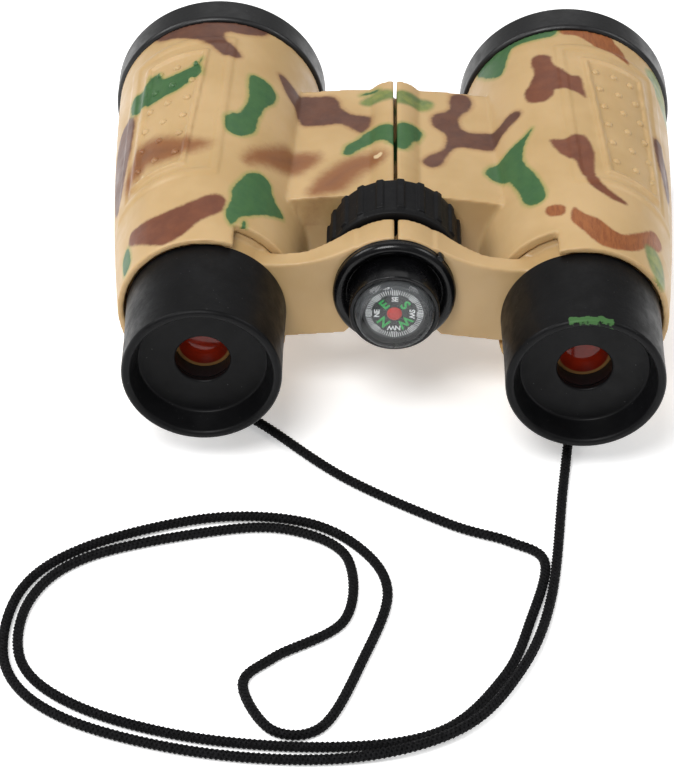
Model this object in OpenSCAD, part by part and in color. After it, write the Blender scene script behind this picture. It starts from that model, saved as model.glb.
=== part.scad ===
// Child's folding binoculars with a hinge compass and a neck cord.
// +X is to the user's right, +Y points at what is looked at, +Z is up.
// The origin is on the table, under the middle of the instrument.

/* [Layout] */
// Distance between the two barrel axes when fully open
barrel_spacing = 72; // [71:0.5:73]
// Height of the hinge axis above the barrel axes
hinge_rise = 5.5; // [5:0.25:6]
// Length from the eyecup rims to the objective rings
body_length = 100; // [99:0.5:101]

/* [Barrels] */
// Largest radius of a barrel, near its front end
barrel_r = 21.1; // [20.8:0.1:21.3]
// Radius of the long curve that tapers a barrel to the rear
taper_r = 700; // [650:10:800]
// Radius of the bore that the eyepiece tube slides in
rear_bore_r = 15.8; // [15.7:0.05:15.9]
// Height of the grip panel's frames
frame_h = 0.6; // [0.3:0.1:0.8]

/* [Bridge] */
// Height of the bridge's top above the barrel axes, where it meets a barrel
bridge_top = 12.6; // [12:0.1:13]
// Rise of the bridge's crowned top from the barrels to the hinge
crown_rise = 1; // [0.5:0.1:1.2]
// Radius of the crown
crown_r = 140; // [120:10:160]
// Radius of the rounded cover over the hinge
cover_r = 6.5; // [6.3:0.1:6.8]
// Gap between the two halves along the top
seam = 0.7; // [0.6:0.1:1.2]
// Radius of the hinge knuckles
knuckle_r = 6; // [5.6:0.1:6]

/* [Optics] */
// Outer radius of an objective ring
ring_r = 21.8; // [21.6:0.1:22]
// Radius of an objective lens
objective_r = 17; // [16.8:0.1:17]
// Outer radius of an eyecup at its rim
eyecup_r = 15.1; // [14.9:0.1:15.3]
// Radius of the hole that the eye looks through
eye_hole_r = 5.2; // [4.8:0.1:5.6]
// Radius of an eye lens
eye_lens_r = 8; // [7:0.2:8]

/* [Focus wheel] */
// Radius over the wheel's ribs
wheel_r = 13.2; // [13:0.1:13.4]
// Number of ribs round the wheel
rib_count = 20; // [16:1:24]

/* [Compass] */
// Radius of the compass flange
flange_r = 11.8; // [11.6:0.1:11.9]
// Radius of the compass pot
pot_r = 8.6; // [8.5:0.1:8.8]
// Radius of the clear capsule
capsule_r = 7.6; // [7.5:0.1:7.7]

/* [Neck cord] */
// Diameter of the cord
cord_d = 2; // [1.8:0.1:2]

/* [Hidden] */
$fn = 96;

tan = "#cdb088";
black = "#1c1c1e";
barrel_x = barrel_spacing / 2;
barrel_z = ring_r;

// Stations along the instrument, measured from the eyecup rims.
belly_y = 96;
lip_y = 20.3;
notch_y = 26;
barrel_end_y = 92.25;
spigot_end_y = 97;
bridge_y = [41.5, 79.8];
// Knuckles along the bridge: the left half has the first and last, the right half the middle one.
left_knuckles = [[41.5, 51], [70.6, 79.8]];
right_knuckles = [[51.3, 70.3]];
arm_y = [21.7, 28.2];
collar_y = [21.2, 40];
collar_bore_r = 13.2;
collar_neck_r = 14.3;
wheel_y = [28.9, 40.2];

pin_r = 1.5;
fit_gap = 0.05;
slide_gap = 0.15;
free_gap = 0.3;

// Outlines of the grip panel's two frames in plan: distance from the barrel's axis, and station.
outer_frame = [[-3.4, 86], [17.6, 86], [18.2, 40], [-1.4, 40]];
inner_frame = [[2, 81.5], [14.7, 81.5], [16, 43.5], [5.2, 43.5]];
outer_frame_w = 1.4;
inner_frame_w = 0.9;

// The compass: its window, the face of its card, and the front and back of its pot.
window_y = 11.8;
card_y = 13.7;
card_r = 6;
pot_y = [13.6, 21];
flange_y = 20.3;

// Focus wheel: the width of a rib, how far the ribs stand out, and the rib nearest the top.
rib_w = 1.5;
rib_h = 0.45;
first_rib = 4;

// Rear hub of the eyepiece arms.
hub_r = 11.9;
disc_r = 9.2;
nut_r = 6.5;
nut_bore_r = 4.55;
left_disc_y = [21.7, 24.15];
right_disc_y = [24.35, 26.3];

// Cord lug under the rear of each barrel. Its foot is level with the ring, so the barrels lie level.
lug_y = [22, 27];
lug_w = 5.4;
cord_hole_r = 1.5;
cord_hole_z = 2.2;
knot_r = 1.7;

// Height of the cord's centreline where it lies on the table, and at the lugs.
lay_z = cord_d / 2 + 0.02;
lug_z = 2.1;

// Height of the cord's centreline where one strand crosses on top of another.
over_z = lay_z + 1.5;
rise_z = lay_z + 0.2;

// Route of the cord from the left knot, round its loop, to just behind the right eyecup.
cord_route = [
    [-36, -22.3, lug_z], [-36, -27.4, lug_z], [-33.4, -31, rise_z], [-24.3, -38.4, lay_z],
    [-8.6, -53.7, lay_z], [10.8, -66.4, lay_z], [22.1, -71.2, lay_z], [28.4, -76.9, lay_z],
    [25.1, -93.3, lay_z], [20, -107.9, lay_z], [8.9, -121.9, lay_z], [-9.4, -126.5, lay_z],
    [-34.3, -124.9, lay_z], [-54.8, -117.7, lay_z], [-65.5, -106.6, lay_z], [-65.2, -90, lay_z],
    [-55, -77.8, lay_z], [-31.1, -69.7, lay_z], [-17.5, -69.6, lay_z], [-8, -77, lay_z],
    [-8.4, -94, lay_z], [-20.8, -104.2, lay_z], [-26.1, -111.4, lay_z], [-20.7, -122.6, lay_z],
    [-11.9, -121.5, lay_z], [-5.1, -104.6, lay_z], [-0.6, -86.7, lay_z], [-5, -74.8, lay_z],
    [-16.2, -67.1, rise_z], [-34.4, -66.7, rise_z], [-56.4, -75.7, rise_z], [-67.4, -88.3, lay_z],
    [-68.2, -107.8, lay_z], [-57.2, -120.6, lay_z], [-33.6, -128.4, lay_z], [-8, -129.4, rise_z],
    [11.6, -123.2, over_z], [22.5, -108.6, over_z], [29.1, -87.3, rise_z], [32.7, -55.5, lay_z]
];
// The last stretch, which moves with the right half.
cord_end_route = [
    [32.7, -55.3, lay_z], [34.6, -39, lay_z], [36, -27.4, lug_z], [36, -22.3, lug_z]
];

function station(y) = y - body_length / 2;

// ---- helpers ----

// A profile of [radius, station] turned about the right barrel's axis.
module turned() {
    translate([barrel_x, -body_length / 2, barrel_z])
        rotate([-90, 0, 0]) rotate_extrude() children();
}

// A profile of [radius, station] turned about the hinge axis.
module turned_on_hinge() {
    translate([0, -body_length / 2, barrel_z + hinge_rise])
        rotate([-90, 0, 0]) rotate_extrude() children();
}

// A cross-section in X and Z, with Z from the barrel axes, pushed from one station to another.
module slab(y) {
    translate([0, station(y[1]), barrel_z])
        rotate([90, 0, 0]) linear_extrude(y[1] - y[0]) children();
}

// A cylinder on the hinge axis from one station to another.
module hinge_rod(y, r) {
    translate([0, station(y[0]), barrel_z + hinge_rise])
        rotate([-90, 0, 0]) cylinder(h = y[1] - y[0], r = r);
}

// Shows a right-hand part on the left side.
module on_left() {
    mirror([1, 0, 0]) children();
}

// A ring or disc profile between two radii and two stations.
module ring_profile(r, y) {
    translate([r[0], y[0]]) square([r[1] - r[0], y[1] - y[0]]);
}

// ---- barrels ----

// Outline of a barrel, with extra height for raised details.
module barrel_profile(y, extra = 0) {
    intersection() {
        translate([barrel_r - taper_r, belly_y]) circle(r = taper_r + extra, $fn = 900);
        translate([0, y[0]]) square([barrel_r + 2, y[1] - y[0]]);
    }
}

module barrel_cavity() {
    turned() polygon([
        [0, lip_y - 1], [rear_bore_r, lip_y - 1], [rear_bore_r, 42], [18.6, 86], [16, 90],
        [16, 92.5], [objective_r + 0.1, 92.5], [objective_r + 0.1, spigot_end_y + 1],
        [0, spigot_end_y + 1]
    ]);
}

// Half of the bridge: a deep box with a crowned top, a rounded cover over the hinge and a wedge cut below it.
module bridge_section() {
    edge = seam / 2;
    intersection() {
        polygon([
            [edge, bridge_top + 2], [edge, hinge_rise], [10, -1.5], [22, -3],
            [barrel_x, -3], [barrel_x, bridge_top + 2]
        ]);
        translate([0, bridge_top + crown_rise - crown_r]) circle(r = crown_r, $fn = 720);
    }
    intersection() {
        translate([0, bridge_top + 3.1 - cover_r]) circle(r = cover_r);
        translate([edge, hinge_rise]) square([cover_r, 12]);
    }
}

// One raised frame of the grip panel, in plan, standing a given height above the barrel.
module grip_frame(outline, width, height) {
    intersection() {
        turned() difference() {
            barrel_profile([lip_y, barrel_end_y], height);
            barrel_profile([lip_y - 1, barrel_end_y + 1], -1);
        }
        translate([barrel_x, -body_length / 2, barrel_z]) linear_extrude(barrel_r + 2)
            difference() {
                polygon(outline);
                polygon([for (p = outline) [
                    p[0] + width * (p[0] > 8 ? -1 : 1), p[1] + width * (p[1] > 60 ? -1 : 1)
                ]]);
            }
    }
}

module cord_lug() {
    difference() {
        translate([barrel_x - lug_w / 2, station(lug_y[0]), 0])
            cube([lug_w, lug_y[1] - lug_y[0], 6.4]);
        translate([barrel_x, station(lug_y[0]) - 1, cord_hole_z])
            rotate([-90, 0, 0]) cylinder(h = lug_y[1] - lug_y[0] + 2, r = cord_hole_r);
    }
}

// Opening in the rear of a barrel that its eyepiece arm passes through.
module arm_notch() {
    slab([lip_y - 1, notch_y])
        polygon([[8, -7.9], [barrel_x - 5.2, -7.9], [barrel_x - 5.2, 20], [8, 20]]);
}

// A right-hand barrel with its own knuckles, clear of the other half's knuckles.
module barrel(own_knuckles, other_knuckles) {
    difference() {
        union() {
            turned() {
                barrel_profile([lip_y, barrel_end_y]);
                ring_profile([objective_r, 20], [barrel_end_y - 1, spigot_end_y]);
            }
            slab(bridge_y) bridge_section();
            for (k = own_knuckles) hinge_rod(k, knuckle_r);
            grip_frame(outer_frame, outer_frame_w, frame_h / 2);
            grip_frame(inner_frame, inner_frame_w, frame_h);
        }
        barrel_cavity();
        arm_notch();
        for (k = other_knuckles) hinge_rod([k[0] - free_gap, k[1] + free_gap], knuckle_r + free_gap);
        hinge_rod([bridge_y[0] - 1, bridge_y[1] + 1], pin_r + fit_gap);
    }
    difference() {
        cord_lug();
        barrel_cavity();
    }
}

module left_barrel() {
    color(tan) on_left() barrel(left_knuckles, right_knuckles);
}

module right_barrel() {
    color(tan) barrel(right_knuckles, left_knuckles);
}

// ---- objectives ----

module objective_ring() {
    color(black) turned() polygon([
        [20.05, 92.3], [ring_r - 0.5, 92.3], [ring_r, 92.9], [ring_r, 99.2],
        [ring_r - 0.8, body_length], [19.4, body_length], [16.4, spigot_end_y + 0.1],
        [20.05, spigot_end_y + 0.1]
    ]);
}

module objective_lens() {
    dome_r = 60;
    color("orange", 0.5) turned() intersection() {
        ring_profile([0, objective_r], [92.55, spigot_end_y]);
        translate([0, 96.4 - dome_r]) circle(r = dome_r, $fn = 360);
    }
}

module lens_retainer() {
    color(black) turned() ring_profile([16.1, objective_r + 0.05], [94.4, 96.95]);
}

module light_baffle() {
    color(black) turned() ring_profile([9, 16.85], [60, 61]);
}

// ---- eyepieces ----

// Half of the rear bridge in section: a hub quadrant that sweeps down into the arm.
module arm_section() {
    edge = seam / 2;
    difference() {
        polygon([
            [edge, hinge_rise], [9.3, -5.4], [21, -6.6], [barrel_x - 6, -7],
            [barrel_x - 6, 15], [7.3, 15], [edge, 13]
        ]);
        translate([23, 38.5]) circle(r = 28);
    }
    intersection() {
        translate([0, hinge_rise]) circle(r = hub_r);
        polygon([[edge, hinge_rise], [edge, 20], [12, 20], [12, hinge_rise - 14]]);
    }
}

// The tube that slides in a barrel, with a narrower neck where the barrel is open for the arm.
module collar_profile() {
    ring_profile([collar_bore_r, collar_neck_r], [collar_y[0], collar_y[1]]);
    ring_profile([collar_bore_r, rear_bore_r - slide_gap], [notch_y + free_gap, collar_y[1]]);
}

// A right-hand eyepiece arm. Its disc turns between the other half's discs on the focus nut.
module eyepiece_arm(disc_y, bore_r, free_zones) {
    difference() {
        union() {
            intersection() {
                slab(arm_y) arm_section();
                translate([0, -body_length / 2, 0]) linear_extrude(60) polygon([
                    [-1, arm_y[0]], [-1, arm_y[1]], [9, arm_y[1]], [17, notch_y - free_gap],
                    [barrel_x, notch_y - free_gap], [barrel_x, arm_y[0]]
                ]);
            }
            turned() collar_profile();
            hinge_rod(disc_y, disc_r);
        }
        turned() ring_profile([0, collar_bore_r], [20, 41]);
        for (y = free_zones) hinge_rod(y, disc_r + free_gap);
        hinge_rod([20, 30], bore_r);
    }
}

module left_eyepiece_arm() {
    color(tan) on_left() eyepiece_arm(left_disc_y, nut_r, [[24.15, 30]]);
}

module right_eyepiece_arm() {
    color(tan) eyepiece_arm(right_disc_y, nut_r + fit_gap, [[20, 24.35], [26.3, 30]]);
}

module eyecup() {
    color(black) turned() polygon([
        [13.5, 0.3], [13.9, 0], [14.8, 0], [eyecup_r, 0.4], [14.8, 11], [14.3, 21.1],
        [13.15, 21.1], [13.15, 29], [11.6, 29], [11.6, 7], [eye_hole_r + 0.6, 7],
        [eye_hole_r, 6.4], [eye_hole_r, 5.4], [12.3, 5]
    ]);
}

module lens_holder() {
    color(black) turned() polygon([
        [eye_hole_r + 0.3, 7.1], [11.5, 7.1], [11.5, 14.5], [eye_lens_r + 0.05, 14.5],
        [eye_lens_r + 0.05, 10.4], [eye_hole_r + 0.3, 10.4]
    ]);
}

module eye_lens() {
    dome_r = 22;
    color("red", 0.6) turned() intersection() {
        ring_profile([0, eye_lens_r], [9.8, 13.5]);
        translate([0, 9.8 + dome_r]) circle(r = dome_r, $fn = 180);
    }
}

// ---- hinge and focus ----

module hinge_pin() {
    color("silver") hinge_rod([23.2, 80.4], pin_r);
}

// Round head that closes the front end of the hinge.
module pin_cap() {
    color(black) turned_on_hinge() difference() {
        polygon([[0, 79.9], [4.6, 79.9], [4.6, 80.9], [3.6, 81.8], [0, 82.1]]);
        ring_profile([0, pin_r + 0.02], [79, 80.45]);
    }
}

// Spring clip in the groove at the pin's rear end.
module pin_clip() {
    color("silver") turned_on_hinge() ring_profile([pin_r + 0.02, 3], [23.5, 24.1]);
}

module wheel_spacer() {
    color(black) turned_on_hinge() ring_profile([pin_r + fit_gap, 4.5], [wheel_y[1] + 0.1, bridge_y[0] - 0.1]);
}

// Ribbed wheel, open at the rear, with a central boss that drives the focus nut.
module focus_wheel() {
    root_r = wheel_r - rib_h;
    rim = 1.6;
    web = 2.2;
    color(black) difference() {
        union() {
            difference() {
                union() {
                    hinge_rod([wheel_y[0], wheel_y[0] + rim], root_r + 0.1);
                    translate([0, station(wheel_y[1]), barrel_z + hinge_rise]) rotate([90, 0, 0])
                        linear_extrude(wheel_y[1] - wheel_y[0] - rim) wheel_section(root_r);
                }
                hinge_rod([wheel_y[0] - 1, wheel_y[1] - web], root_r - 2);
            }
            hinge_rod([24.3, wheel_y[1] - 1], nut_bore_r - fit_gap);
        }
        hinge_rod([24, wheel_y[1] + 1], pin_r + fit_gap);
    }
}

module wheel_section(root_r) {
    circle(r = root_r);
    for (i = [0 : rib_count - 1])
        rotate(-first_rib - i * 360 / rib_count)
            translate([-rib_w / 2, root_r - 0.6]) square([rib_w, wheel_r - root_r + 0.6]);
}

// Sleeve fixed in the left arm. The wheel's boss screws into it, and the right arm turns on it.
module focus_nut() {
    color(black) turned_on_hinge() ring_profile([nut_bore_r, nut_r], [21.75, 36.5]);
}

// ---- compass ----

// Pot and flange behind the hub, with a round rim and a small index lug.
module compass_housing() {
    rim_r = (flange_r - pot_r - 0.6) / 2;
    color(black) {
        turned_on_hinge() {
            difference() {
                union() {
                    ring_profile([0, flange_r], [flange_y, 21.6]);
                    translate([flange_r - rim_r, flange_y]) circle(r = rim_r);
                    ring_profile([0, pot_r], pot_y);
                }
                ring_profile([0, capsule_r + fit_gap], [pot_y[0] - 1, 20]);
            }
        }
        translate([0, station(19.7), barrel_z + hinge_rise]) rotate([-90, 0, 0])
            rotate([0, 0, -45]) translate([flange_r - 0.5, -0.7, 0]) cube([1.2, 1.4, 1.8]);
    }
}

// Clear capsule with a flat window and a sloping shoulder.
module compass_capsule() {
    color("white", 0.3) turned_on_hinge() difference() {
        polygon([
            [0, window_y], [6.4, window_y], [7.1, window_y + 0.4], [capsule_r, window_y + 1.5],
            [capsule_r, 18.9], [0, 18.9]
        ]);
        polygon([[0, window_y + 0.8], [6.3, window_y + 0.8], [6.7, window_y + 1.5], [6.7, 20], [0, 20]]);
    }
}

module compass_base() {
    color("gray") turned_on_hinge() ring_profile([0, capsule_r], [18.95, 19.95]);
}

module compass_pivot() {
    color("gold") turned_on_hinge()
        polygon([
            [0, card_y], [0.12, card_y], [0.5, card_y + 1], [0.5, 17.9], [1.4, 18.9], [0, 18.9]
        ]);
}

// Round card with a domed centre that sits on the pivot.
module compass_card() {
    color("dimgray") turned_on_hinge() translate([0, card_y]) difference() {
        polygon([
            [0, -0.8], [1.2, -0.7], [1.5, 0], [card_r, 0], [card_r, 0.5], [1.5, 0.5], [1.1, 1.4], [0, 1.4]
        ]);
        polygon([[0, -0.1], [0.3, -0.1], [0.75, 1.5], [0, 1.5]]);
    }
}

module compass_magnet() {
    color("silver") difference() {
        translate([-4.5, station(card_y + 0.55), barrel_z + hinge_rise - 2.2]) cube([9, 0.8, 4.4]);
        hinge_rod([card_y, card_y + 2], 1.55);
    }
}

// ---- neck cord ----

function unit(v) = v / norm(v);

// A point of the smooth curve through four route points, t of the way from b to c.
function between(a, b, c, d, t) =
    (2 * b + (c - a) * t + (2 * a - 5 * b + 4 * c - d) * t * t
     + (3 * b - a - 3 * c + d) * t * t * t) / 2;

// The route with one more point halfway along each stretch.
function smooth(p) = let (n = len(p)) concat(
    [for (i = [0 : n - 2]) for (t = [0, 0.5])
        between(p[max(i - 1, 0)], p[i], p[i + 1], p[min(i + 2, n - 1)], t)],
    [p[n - 1]]);

module tube(route, r) {
    sides = 8;
    p = smooth(route);
    n = len(p);
    rings = [for (i = [0 : n - 1])
        let (along = unit(p[min(i + 1, n - 1)] - p[max(i - 1, 0)]),
             across = unit(cross(along, [0, 0, 1])),
             up = cross(across, along))
        for (k = [0 : sides - 1])
            let (a = (k + 0.5) * 360 / sides)
                p[i] + r * (cos(a) * across + sin(a) * up)];
    walls = [for (i = [0 : n - 2]) for (k = [0 : sides - 1])
        let (m = (k + 1) % sides)
            [i * sides + k, i * sides + m, (i + 1) * sides + m, (i + 1) * sides + k]];
    caps = [[for (k = [0 : sides - 1]) sides - 1 - k], [for (k = [0 : sides - 1]) (n - 1) * sides + k]];
    polyhedron(points = rings, faces = concat(walls, caps));
}

module neck_cord() {
    color(black) tube(cord_route, cord_d / 2);
}

module neck_cord_end() {
    color(black) tube(cord_end_route, cord_d / 2);
}

// Stopper knot in front of the right lug.
module cord_knot() {
    color(black) translate([barrel_x, station(lug_y[1] + 2), lug_z - 0.1]) sphere(r = knot_r, $fn = 48);
}

// ---- assembly ----

left_barrel();
right_barrel();
on_left() objective_ring();  // left_objective_ring
objective_ring();  // right_objective_ring
on_left() objective_lens();  // left_objective_lens
objective_lens();  // right_objective_lens
on_left() lens_retainer();  // left_lens_retainer
lens_retainer();  // right_lens_retainer
on_left() light_baffle();  // left_light_baffle
light_baffle();  // right_light_baffle
left_eyepiece_arm();
right_eyepiece_arm();
on_left() eyecup();  // left_eyecup
eyecup();  // right_eyecup
on_left() lens_holder();  // left_lens_holder
lens_holder();  // right_lens_holder
on_left() eye_lens();  // left_eye_lens
eye_lens();  // right_eye_lens
hinge_pin();
pin_cap();
pin_clip();
wheel_spacer();
focus_wheel();
focus_nut();
compass_housing();
compass_capsule();
compass_base();
compass_pivot();
compass_card();
compass_magnet();
neck_cord();
neck_cord_end();
on_left() cord_knot();  // left_cord_knot
cord_knot();  // right_cord_knot
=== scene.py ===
"""Folding camouflage binoculars with a hinge compass and a neck cord, on a pale floor.

Lengths are millimetres in the tables below and metres in Blender. A station is a distance along the
instrument, measured from the eyecup rims towards the objectives.
"""

import math

import bmesh
import bpy
import numpy as np
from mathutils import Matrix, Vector


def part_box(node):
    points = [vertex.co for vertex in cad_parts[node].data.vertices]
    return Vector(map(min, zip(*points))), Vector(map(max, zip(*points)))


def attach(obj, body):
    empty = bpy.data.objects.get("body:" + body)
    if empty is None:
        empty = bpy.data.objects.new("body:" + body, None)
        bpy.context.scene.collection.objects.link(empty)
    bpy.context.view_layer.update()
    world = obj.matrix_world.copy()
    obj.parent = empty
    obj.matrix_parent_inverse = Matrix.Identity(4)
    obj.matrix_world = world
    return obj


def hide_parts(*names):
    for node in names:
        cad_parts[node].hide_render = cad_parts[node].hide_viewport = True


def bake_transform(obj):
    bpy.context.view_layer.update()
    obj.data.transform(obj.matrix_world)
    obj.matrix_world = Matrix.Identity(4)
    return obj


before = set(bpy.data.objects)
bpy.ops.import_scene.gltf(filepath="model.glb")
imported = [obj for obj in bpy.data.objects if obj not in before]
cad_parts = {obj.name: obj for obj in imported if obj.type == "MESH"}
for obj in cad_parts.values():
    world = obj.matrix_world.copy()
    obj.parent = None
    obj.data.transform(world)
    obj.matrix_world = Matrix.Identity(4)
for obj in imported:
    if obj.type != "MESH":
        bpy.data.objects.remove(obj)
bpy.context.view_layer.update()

MM = 0.001
# Lengths below this are treated as nothing.
TINY = 0.01
RING_LOW, RING_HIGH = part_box("right_objective_ring")
PIN_LOW, PIN_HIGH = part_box("hinge_pin")
BARREL_X = (RING_LOW.x + RING_HIGH.x) / 2 / MM
BARREL_Z = (RING_LOW.z + RING_HIGH.z) / 2 / MM
HINGE_Z = (PIN_LOW.z + PIN_HIGH.z) / 2 / MM
RIM_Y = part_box("right_eyecup")[0].y / MM
SIDES = {"left": -1, "right": 1}
HINGE = (0, HINGE_Z)


def axis_of(side):
    """X and Z of a barrel's axis."""
    return (SIDES[side] * BARREL_X, BARREL_Z)


def metres(point):
    """A point in mm as metres."""
    return tuple(c * MM for c in point)


# ---------------------------------------------------------------- camera

CAMERA_AIM = Vector((-10.6, -51.4, 21.8)) * MM
CAMERA_DISTANCE = 595.4 * MM
CAMERA_ELEVATION = math.radians(37.8)
CAMERA_AZIMUTH = math.radians(-0.2)
CAMERA_ROLL = math.radians(1.4)
CAMERA_LENS = 149.5


def make_camera():
    """The camera looks at its aim from behind and above the eyecups, with a slight roll."""
    back = Vector(
        (
            math.sin(CAMERA_AZIMUTH) * math.cos(CAMERA_ELEVATION),
            -math.cos(CAMERA_AZIMUTH) * math.cos(CAMERA_ELEVATION),
            math.sin(CAMERA_ELEVATION),
        )
    )
    right = Vector((0, 0, 1)).cross(back).normalized()
    up = back.cross(right)
    tilted_right = math.cos(CAMERA_ROLL) * right + math.sin(CAMERA_ROLL) * up
    tilted_up = back.cross(tilted_right)
    data = bpy.data.cameras.new("camera")
    data.lens = CAMERA_LENS
    data.sensor_width = 36
    data.clip_start = 0.01
    camera = bpy.data.objects.new("camera", data)
    bpy.context.scene.collection.objects.link(camera)
    matrix = camera.matrix_world.copy()
    for row in range(3):
        matrix[row][0] = tilted_right[row]
        matrix[row][1] = tilted_up[row]
        matrix[row][2] = back[row]
        matrix[row][3] = (CAMERA_AIM + CAMERA_DISTANCE * back)[row]
    camera.matrix_world = matrix
    bpy.context.scene.camera = camera


# ---------------------------------------------------------------- mesh helpers


def make_object(name, vertices, faces, material, body, replaces=(), smooth=True):
    """A mesh from points in mm, riding on a body and standing for CAD nodes."""
    mesh = bpy.data.meshes.new(name)
    mesh.from_pydata([metres(v) for v in vertices], [], faces)
    mesh.validate()
    obj = bpy.data.objects.new(name, mesh)
    bpy.context.scene.collection.objects.link(obj)
    mesh.materials.append(material)
    mesh.polygons.foreach_set("use_smooth", [smooth] * len(mesh.polygons))
    if body:
        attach(obj, body)
    if replaces:
        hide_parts(*replaces)
    return obj


def rounded(outline, radius, steps=4):
    """A closed outline of (radius, station) with arcs for its corners, apart from those on the axis."""
    most_of_a_side = 0.45
    out = []
    count = len(outline)
    for i, corner in enumerate(outline):
        here = Vector(corner)
        before = Vector(outline[i - 1]) - here
        after = Vector(outline[(i + 1) % count]) - here
        cut = min(radius, before.length * most_of_a_side, after.length * most_of_a_side)
        if here.x < TINY or cut < TINY:
            out.append(tuple(here))
            continue
        start = here + before.normalized() * cut
        end = here + after.normalized() * cut
        for k in range(steps + 1):
            t = k / steps
            out.append(tuple((1 - t) ** 2 * start + 2 * t * (1 - t) * here + t * t * end))
    return out


def lathe_data(axis, profile, segments=144):
    """Points and faces of a closed profile of (radius, station) turned about a line along Y."""
    count = len(profile)
    vertices, faces = [], []
    for j in range(segments):
        angle = 2 * math.pi * j / segments
        for r, y in profile:
            vertices.append((axis[0] + r * math.sin(angle), RIM_Y + y, axis[1] + r * math.cos(angle)))
    for j in range(segments):
        for i in range(count):
            a = j * count + i
            b = j * count + (i + 1) % count
            c = ((j + 1) % segments) * count + (i + 1) % count
            d = ((j + 1) % segments) * count + i
            faces.append((a, b, c, d))
    return vertices, faces


def clean(obj):
    """Joins doubled points, points the faces outwards and evens the shading of flat faces."""
    doubled, degenerate = 0.001 * MM, 0.0001 * MM
    bm = bmesh.new()
    bm.from_mesh(obj.data)
    bmesh.ops.remove_doubles(bm, verts=bm.verts, dist=doubled)
    bmesh.ops.dissolve_degenerate(bm, dist=degenerate, edges=bm.edges)
    bmesh.ops.recalc_face_normals(bm, faces=bm.faces)
    bm.to_mesh(obj.data)
    bm.free()
    obj.modifiers.new("even shading", "WEIGHTED_NORMAL").keep_sharp = True
    return obj


def dress(node, material):
    """Gives a CAD node that shows as it is its material."""
    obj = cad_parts[node]
    obj.data.materials.clear()
    obj.data.materials.append(material)


def lathe(name, axis, profile, material, body, replaces=(), segments=144):
    """A piece made by turning a closed profile about a line along Y."""
    vertices, faces = lathe_data(axis, profile, segments)
    return clean(make_object(name, vertices, faces, material, body, replaces))


def join_data(*parts):
    """One list of points and faces from several."""
    vertices, faces = [], []
    for part_vertices, part_faces in parts:
        base = len(vertices)
        vertices += list(part_vertices)
        faces += [tuple(base + i for i in face) for face in part_faces]
    return vertices, faces


# ---------------------------------------------------------------- materials


class Shader:
    """Short calls for building a material's nodes."""

    def __init__(self, name):
        self.material = bpy.data.materials.new(name)
        self.material.use_nodes = True
        self.tree = self.material.node_tree
        self.bsdf = self.tree.nodes["Principled BSDF"]
        self.place = self.add("ShaderNodeTexCoord").outputs["Object"]

    def add(self, kind, **settings):
        node = self.tree.nodes.new(kind)
        for key, value in settings.items():
            setattr(node, key, value)
        return node

    def feed(self, socket, value):
        """Links a socket to a node's output, or sets its value."""
        if hasattr(value, "is_output"):
            self.tree.links.new(value, socket)
        else:
            socket.default_value = value

    def set(self, **values):
        """Feeds sockets of the surface shader, with _ for each space in a socket's name."""
        for key, value in values.items():
            self.feed(self.bsdf.inputs[key.replace("_", " ")], value)

    def stretched(self, scale):
        """The place with each axis scaled."""
        node = self.add("ShaderNodeMapping")
        self.feed(node.inputs["Vector"], self.place)
        node.inputs["Scale"].default_value = scale
        return node.outputs["Vector"]

    def noise(self, scale, detail=3, rough=0.55, stretch=None):
        """Noise from 0 to 1. Scale is in features per metre."""
        node = self.add("ShaderNodeTexNoise")
        self.feed(node.inputs["Vector"], self.stretched(stretch) if stretch else self.place)
        node.inputs["Scale"].default_value = scale
        node.inputs["Detail"].default_value = detail
        node.inputs["Roughness"].default_value = rough
        return node.outputs["Fac"]

    def math(self, operation, a, b=0.0):
        node = self.add("ShaderNodeMath", operation=operation)
        self.feed(node.inputs[0], a)
        self.feed(node.inputs[1], b)
        return node.outputs[0]

    def plus(self, a, b):
        return self.math("ADD", a, b)

    def minus(self, a, b):
        return self.math("SUBTRACT", a, b)

    def times(self, a, b):
        return self.math("MULTIPLY", a, b)

    def least(self, a, b):
        return self.math("MINIMUM", a, b)

    def size(self, a):
        return self.math("ABSOLUTE", a)

    def coordinates(self):
        """X, Y and Z of the shaded point, in metres."""
        node = self.add("ShaderNodeSeparateXYZ")
        self.feed(node.inputs[0], self.place)
        return node.outputs["X"], node.outputs["Y"], node.outputs["Z"]

    def span(self, value, low, high, out_low=0.0, out_high=1.0):
        """A smooth step from out_low to out_high as the value goes from low to high."""
        node = self.add("ShaderNodeMapRange", interpolation_type="SMOOTHSTEP")
        self.feed(node.inputs["Value"], value)
        node.inputs["From Min"].default_value = low
        node.inputs["From Max"].default_value = high
        node.inputs["To Min"].default_value = out_low
        node.inputs["To Max"].default_value = out_high
        return node.outputs["Result"]

    def mix(self, share, a, b):
        """Colour a, with a share of colour b over it."""
        node = self.add("ShaderNodeMix", data_type="RGBA")
        self.feed(node.inputs["Factor"], share)
        self.feed(node.inputs[6], a)
        self.feed(node.inputs[7], b)
        return node.outputs[2]

    def bump(self, height, depth, strength, below=None):
        """A normal that stands for a height from 0 to 1 times a depth in mm."""
        node = self.add("ShaderNodeBump")
        self.feed(node.inputs["Height"], height)
        node.inputs["Distance"].default_value = depth * MM
        node.inputs["Strength"].default_value = strength
        if below is not None:
            self.feed(node.inputs["Normal"], below)
        return node.outputs["Normal"]

    def attribute(self, name):
        return self.add("ShaderNodeAttribute", attribute_name=name).outputs["Fac"]


def colour(hex_code):
    """Linear colour from a screen colour."""
    parts = [int(hex_code[i : i + 2], 16) / 255 for i in (0, 2, 4)]
    return [c / 12.92 if c <= 0.04045 else ((c + 0.055) / 1.055) ** 2.4 for c in parts] + [1]


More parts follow.
